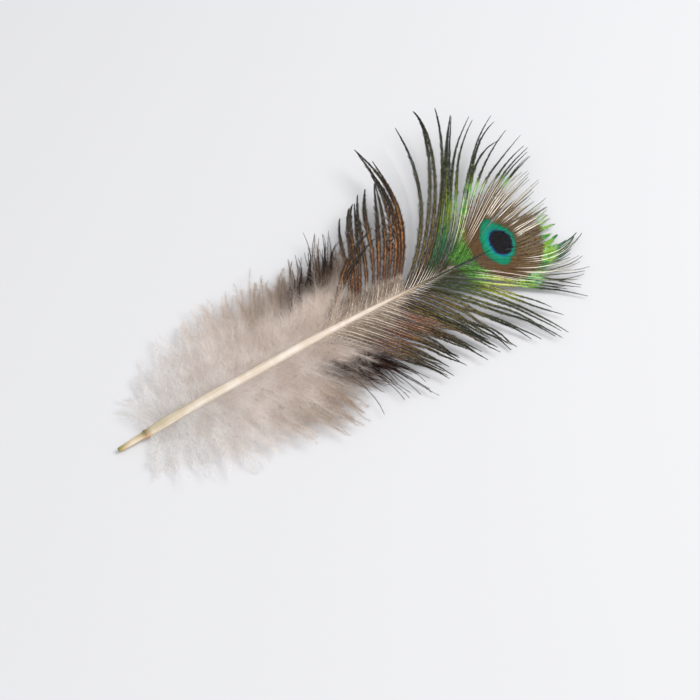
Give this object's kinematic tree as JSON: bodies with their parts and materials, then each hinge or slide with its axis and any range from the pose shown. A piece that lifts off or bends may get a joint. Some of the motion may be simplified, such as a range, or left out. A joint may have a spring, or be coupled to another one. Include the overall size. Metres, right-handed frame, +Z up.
{
  "type": "peacock feather",
  "caption": "Small peacock eye feather lying face up: pale shaft, soft down, loose bronze and green strands, and a round blue-green eye at the tip.",
  "frame": {"origin": "middle of the bounding box, on the surface that the feather lies on", "axes": "+X along the shaft from the quill to the eye, +Y to the feather's left seen from above, +Z up"},
  "size_m": [0.1486, 0.0884, 0.0087],
  "materials": {
    "shaft": "satin",
    "down": "matte",
    "strands": "satin",
    "eye": "satin"
  },
  "bodies": {
    "root": {"shaft": "shaft", "left_down": "down", "right_down": "down", "left_strands": "strands", "right_strands": "strands", "eye": "eye"}
  },
  "joints": []
}
